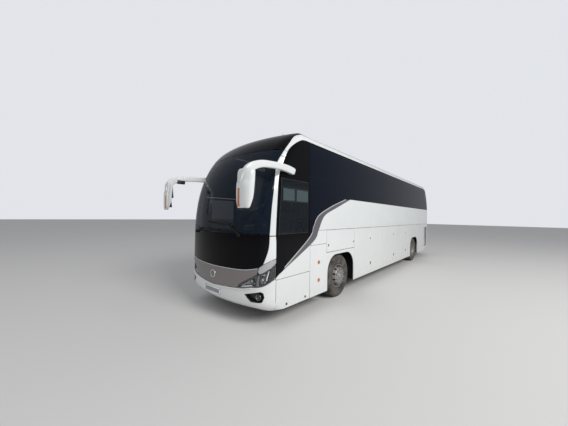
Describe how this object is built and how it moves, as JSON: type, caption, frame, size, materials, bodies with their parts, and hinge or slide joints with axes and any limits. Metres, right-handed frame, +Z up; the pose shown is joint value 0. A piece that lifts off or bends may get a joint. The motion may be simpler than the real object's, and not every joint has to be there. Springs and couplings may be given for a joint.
{
  "type": "coach bus",
  "caption": "High-deck touring coach with raked dark glazing, swooping side trim, long-arm mirrors, steered front wheels, twin rear wheels, swing-out doors and top-hinged flaps.",
  "frame": {"origin": "centre of the bounding box on the road plane", "axes": "+Z up, -Y to the front of the coach, +X to its left-hand (driver's) side"},
  "size_m": [3.054, 13.4312, 3.8798],
  "materials": {
    "white_paint": "gloss",
    "black_gloss": "gloss",
    "silver_paint": "metallic",
    "dark_glass": "gloss",
    "lamp_glass": "gloss",
    "tail_lamp": "gloss",
    "tyre": "matte",
    "wheel_steel": "satin",
    "chassis_steel": "matte",
    "arch_plastic": "matte",
    "floor_covering": "matte",
    "dash_plastic": "matte",
    "seat_fabric": "matte"
  },
  "bodies": {
    "body": {"dashboard": "dash_plastic", "driver_seat": "seat_fabric", "driver_window": "dark_glass", "engine_block": "chassis_steel", "floor_deck": "floor_covering", "fog_lamps": "lamp_glass", "front_axle_beam": "chassis_steel", "front_black_panel": "black_gloss", "front_bumper": "white_paint", "front_mask": "white_paint", "front_roof_cap": "black_gloss", "front_side_left": "black_gloss", "front_side_right": "black_gloss", "front_silver_band": "silver_paint", "glazing_left": "dark_glass", "glazing_right": "dark_glass", "headlamps": "lamp_glass", "luggage_hold": "arch_plastic", "mirror_left": "white_paint", "mirror_right": "white_paint", "parcel_racks": "dash_plastic", "rear_axle": "chassis_steel", "rear_bumper": "white_paint", "rear_mask": "white_paint", "rear_window": "dark_glass", "roof_ac_pod": "white_paint", "roof_panel": "white_paint", "seats_left": "seat_fabric", "seats_right": "seat_fabric", "side_swooshes": "silver_paint", "side_wall_left": "white_paint", "side_wall_right": "white_paint", "tail_lamps": "tail_lamp", "underframe": "chassis_steel", "wheel_housings": "arch_plastic", "windshield": "dark_glass", "wipers": "arch_plastic"},
    "wheel_front_left": {"tyre_front_left": "tyre", "rim_front_left": "wheel_steel"},
    "wheel_front_right": {"tyre_front_right": "tyre", "rim_front_right": "wheel_steel"},
    "wheels_rear_left": {"tyres_rear_left": "tyre", "rims_rear_left": "wheel_steel"},
    "wheels_rear_right": {"tyres_rear_right": "tyre", "rims_rear_right": "wheel_steel"},
    "knuckle_left": {"knuckle_left": "chassis_steel"},
    "knuckle_right": {"knuckle_right": "chassis_steel"},
    "tie_rod": {"tie_rod": "chassis_steel"},
    "front_door_arm": {"front_door_arm": "chassis_steel"},
    "front_door": {"front_door_leaf": "dark_glass"},
    "mid_door_arm": {"mid_door_arm": "chassis_steel"},
    "mid_door": {"mid_door_leaf": "dark_glass"},
    "corner_flap_left": {"corner_flap_left": "white_paint"},
    "arch_flap_left": {"arch_flap_left": "white_paint"},
    "luggage_flap_left_1": {"luggage_flap_left_1": "white_paint"},
    "luggage_flap_left_2": {"luggage_flap_left_2": "white_paint"},
    "luggage_flap_left_3": {"luggage_flap_left_3": "white_paint"},
    "luggage_flap_right_1": {"luggage_flap_right_1": "white_paint"},
    "luggage_flap_right_2": {"luggage_flap_right_2": "white_paint"},
    "engine_lid": {"engine_lid": "white_paint"}
  },
  "joints": [
    {"name": "steer_left", "type": "hinge", "parent": "body", "child": "knuckle_left", "pos_m": [0.9, -3.497, 0.522], "axis": [0, 0, 1], "range_deg": [-45, 45]},
    {"name": "steer_right", "type": "hinge", "parent": "body", "child": "knuckle_right", "pos_m": [-0.9, -3.497, 0.522], "axis": [0, 0, 1], "range_deg": [-45, 45]},
    {"name": "tie_rod_swivel", "type": "hinge", "parent": "knuckle_left", "child": "tie_rod", "pos_m": [0.9, -3.327, 0.392], "axis": [0, 0, 1], "range_deg": [-45, 45]},
    {"name": "spin_front_left", "type": "hinge", "parent": "knuckle_left", "child": "wheel_front_left", "pos_m": [1.09, -3.497, 0.522], "axis": [1, 0, 0], "continuous": true},
    {"name": "spin_front_right", "type": "hinge", "parent": "knuckle_right", "child": "wheel_front_right", "pos_m": [-1.09, -3.497, 0.522], "axis": [1, 0, 0], "continuous": true},
    {"name": "spin_rear_left", "type": "hinge", "parent": "body", "child": "wheels_rear_left", "pos_m": [0.9225, 3.583, 0.522], "axis": [1, 0, 0], "continuous": true},
    {"name": "spin_rear_right", "type": "hinge", "parent": "body", "child": "wheels_rear_right", "pos_m": [-0.9225, 3.583, 0.522], "axis": [1, 0, 0], "continuous": true},
    {"name": "front_door_swing", "type": "hinge", "parent": "body", "child": "front_door_arm", "pos_m": [-1.17, -5.667, 1.4], "axis": [0, 0, 1], "range_deg": [0, 150]},
    {"name": "front_door_hang", "type": "hinge", "parent": "front_door_arm", "child": "front_door", "pos_m": [-1.17, -5.267, 1.4], "axis": [0, 0, 1], "range_deg": [-150, 0]},
    {"name": "mid_door_swing", "type": "hinge", "parent": "body", "child": "mid_door_arm", "pos_m": [-1.17, 2.248, 1.4], "axis": [0, 0, -1], "range_deg": [0, 150]},
    {"name": "mid_door_hang", "type": "hinge", "parent": "mid_door_arm", "child": "mid_door", "pos_m": [-1.17, 1.848, 1.4], "axis": [0, 0, -1], "range_deg": [-150, 0]},
    {"name": "corner_flap_left_hinge", "type": "hinge", "parent": "body", "child": "corner_flap_left", "pos_m": [1.275, -5.312, 0.842], "axis": [0, -1, 0], "range_deg": [0, 85]},
    {"name": "arch_flap_left_hinge", "type": "hinge", "parent": "body", "child": "arch_flap_left", "pos_m": [1.275, -3.427, 1.682], "axis": [0, -1, 0], "range_deg": [0, 85]},
    {"name": "luggage_flap_left_1_hinge", "type": "hinge", "parent": "body", "child": "luggage_flap_left_1", "pos_m": [1.275, -1.6345, 1.682], "axis": [0, -1, 0], "range_deg": [0, 85]},
    {"name": "luggage_flap_left_2_hinge", "type": "hinge", "parent": "body", "child": "luggage_flap_left_2", "pos_m": [1.275, 0.6105, 1.682], "axis": [0, -1, 0], "range_deg": [0, 85]},
    {"name": "luggage_flap_left_3_hinge", "type": "hinge", "parent": "body", "child": "luggage_flap_left_3", "pos_m": [1.275, 2.1905, 1.682], "axis": [0, -1, 0], "range_deg": [0, 85]},
    {"name": "luggage_flap_right_1_hinge", "type": "hinge", "parent": "body", "child": "luggage_flap_right_1", "pos_m": [-1.275, -1.6345, 1.682], "axis": [0, 1, 0], "range_deg": [0, 85]},
    {"name": "luggage_flap_right_2_hinge", "type": "hinge", "parent": "body", "child": "luggage_flap_right_2", "pos_m": [-1.275, 0.468, 1.682], "axis": [0, 1, 0], "range_deg": [0, 85]},
    {"name": "engine_lid_hinge", "type": "hinge", "parent": "body", "child": "engine_lid", "pos_m": [0, 6.719, 1.694], "axis": [1, 0, 0], "range_deg": [0, 75]}
  ],
  "couplings": [
    {"joint": "steer_right", "follows": "steer_left", "ratio": 1},
    {"joint": "tie_rod_swivel", "follows": "steer_left", "ratio": -1},
    {"joint": "front_door_hang", "follows": "front_door_swing", "ratio": -1},
    {"joint": "mid_door_hang", "follows": "mid_door_swing", "ratio": -1}
  ]
}
